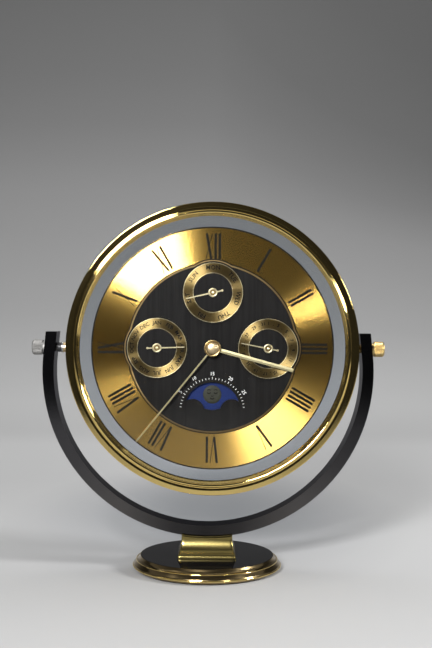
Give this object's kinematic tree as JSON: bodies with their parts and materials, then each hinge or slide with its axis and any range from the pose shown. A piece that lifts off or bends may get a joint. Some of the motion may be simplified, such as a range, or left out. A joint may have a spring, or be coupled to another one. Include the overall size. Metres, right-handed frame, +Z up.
{
  "type": "desk clock with calendar",
  "caption": "Round glass-walled desk clock with calendar subdials and a moon window, held between knurled knobs in a curved yoke on a turned base.",
  "frame": {"origin": "centre of the base's underside", "axes": "+Z up, -Y is the way the dial faces, +X to the right as the dial is read"},
  "size_m": [0.1826, 0.077, 0.189],
  "materials": {
    "polished_gold": "polished",
    "brushed_gold": "brushed",
    "gunmetal": "polished dark plating",
    "silver": "polished",
    "black_lacquer": "gloss",
    "glass": "clear",
    "black_plastic": "matt",
    "wheel_brass": "satin",
    "spring_steel": "satin",
    "moon_blue": "semi-gloss",
    "battery_sleeve": "gloss",
    "felt": "napped"
  },
  "bodies": {
    "stand": {"base_felt": "felt", "base_rim": "polished_gold", "base_top_plate": "black_lacquer", "pedestal": "polished_gold", "yoke": "gunmetal"},
    "left_knob": {"left_knob": "silver"},
    "right_knob": {"right_knob": "polished_gold"},
    "head": {"front_bezel": "polished_gold", "front_crystal": "glass", "case_drum": "polished_gold", "rear_glass": "glass", "pivot_bosses": "polished_gold", "left_pivot_sleeve": "silver", "chapter_ring": "brushed_gold", "centre_plate": "black_lacquer", "subdial_discs": "brushed_gold", "works_tray": "black_plastic", "weekday_jumper": "spring_steel", "date_jumper": "spring_steel", "month_jumper": "spring_steel", "moon_jumper": "spring_steel", "weekday_return_leaf": "spring_steel", "date_return_leaf": "spring_steel", "month_return_leaf": "spring_steel", "moon_return_leaf": "spring_steel", "movement_housing": "black_plastic", "battery": "battery_sleeve", "battery_contacts": "spring_steel", "rear_cover": "black_plastic"},
    "minute": {"centre_arbor": "wheel_brass", "minute_hand": "brushed_gold", "hand_cap": "polished_gold"},
    "hour": {"hour_wheel": "wheel_brass", "hour_hand": "brushed_gold"},
    "minute_wheel": {"minute_wheel": "wheel_brass", "setting_knob": "black_plastic"},
    "day_wheel": {"day_wheel": "wheel_brass"},
    "moon_drive": {"moon_drive_wheel": "wheel_brass"},
    "weekday": {"weekday_star": "wheel_brass", "weekday_hand": "brushed_gold"},
    "date": {"date_star": "wheel_brass", "date_hand": "brushed_gold"},
    "month": {"month_star": "wheel_brass", "month_hand": "brushed_gold"},
    "moon": {"moon_disc": "moon_blue"},
    "weekday_button": {"weekday_corrector": "black_plastic"},
    "date_button": {"date_corrector": "black_plastic"},
    "month_button": {"month_corrector": "black_plastic"},
    "moon_button": {"moon_corrector": "black_plastic"},
    "battery_door": {"battery_door": "black_plastic"}
  },
  "joints": [
    {"name": "head_tilt", "type": "hinge", "parent": "stand", "child": "head", "pos_m": [0, 0, 0.114], "axis": [1, 0, 0], "continuous": true},
    {"name": "left_knob_turn", "type": "hinge", "parent": "stand", "child": "left_knob", "pos_m": [0, 0, 0.114], "axis": [-1, 0, 0], "range_deg": [-360, 0]},
    {"name": "right_knob_turn", "type": "hinge", "parent": "stand", "child": "right_knob", "pos_m": [0, 0, 0.114], "axis": [1, 0, 0], "range_deg": [-360, 0]},
    {"name": "minute_spin", "type": "hinge", "parent": "head", "child": "minute", "pos_m": [0.0022, 0, 0.114], "axis": [0, 1, 0], "continuous": true},
    {"name": "minute_wheel_spin", "type": "hinge", "parent": "head", "child": "minute_wheel", "pos_m": [-0.0098, 0, 0.114], "axis": [0, 1, 0], "continuous": true},
    {"name": "hour_spin", "type": "hinge", "parent": "head", "child": "hour", "pos_m": [0.0022, 0, 0.114], "axis": [0, 1, 0], "continuous": true},
    {"name": "day_wheel_spin", "type": "hinge", "parent": "head", "child": "day_wheel", "pos_m": [0.01917, 0, 0.13097], "axis": [0, 1, 0], "continuous": true},
    {"name": "moon_drive_spin", "type": "hinge", "parent": "head", "child": "moon_drive", "pos_m": [0.01917, 0, 0.09703], "axis": [0, 1, 0], "continuous": true},
    {"name": "weekday_spin", "type": "hinge", "parent": "head", "child": "weekday", "pos_m": [0.0022, 0, 0.1428], "axis": [0, 1, 0], "continuous": true, "deforming": ["weekday_jumper"]},
    {"name": "date_spin", "type": "hinge", "parent": "head", "child": "date", "pos_m": [0.031, 0, 0.114], "axis": [0, 1, 0], "continuous": true, "deforming": ["date_jumper"]},
    {"name": "month_spin", "type": "hinge", "parent": "head", "child": "month", "pos_m": [-0.0266, 0, 0.114], "axis": [0, 1, 0], "continuous": true, "deforming": ["month_jumper"]},
    {"name": "moon_spin", "type": "hinge", "parent": "head", "child": "moon", "pos_m": [0.0022, 0, 0.0818], "axis": [0, 1, 0], "continuous": true, "deforming": ["moon_jumper"]},
    {"name": "weekday_press", "type": "slide", "parent": "head", "child": "weekday_button", "axis": [0, -1, 0], "range_m": [0, 0.0012], "stiffness_N_per_m": 300, "springref_m": -0.001, "deforming": ["weekday_return_leaf"]},
    {"name": "date_press", "type": "slide", "parent": "head", "child": "date_button", "axis": [0, -1, 0], "range_m": [0, 0.0012], "stiffness_N_per_m": 300, "springref_m": -0.001, "deforming": ["date_return_leaf"]},
    {"name": "month_press", "type": "slide", "parent": "head", "child": "month_button", "axis": [0, -1, 0], "range_m": [0, 0.0012], "stiffness_N_per_m": 300, "springref_m": -0.001, "deforming": ["month_return_leaf"]},
    {"name": "moon_press", "type": "slide", "parent": "head", "child": "moon_button", "axis": [0, -1, 0], "range_m": [0, 0.0012], "stiffness_N_per_m": 300, "springref_m": -0.001, "deforming": ["moon_return_leaf"]},
    {"name": "battery_door_pull", "type": "slide", "parent": "head", "child": "battery_door", "axis": [0, 1, 0], "range_m": [0, 0.02]}
  ],
  "couplings": [
    {"joint": "minute_wheel_spin", "follows": "minute_spin", "ratio": -0.33333},
    {"joint": "hour_spin", "follows": "minute_spin", "ratio": 0.083333},
    {"joint": "day_wheel_spin", "follows": "minute_spin", "ratio": -0.041667},
    {"joint": "moon_drive_spin", "follows": "minute_spin", "ratio": -0.041667}
  ]
}
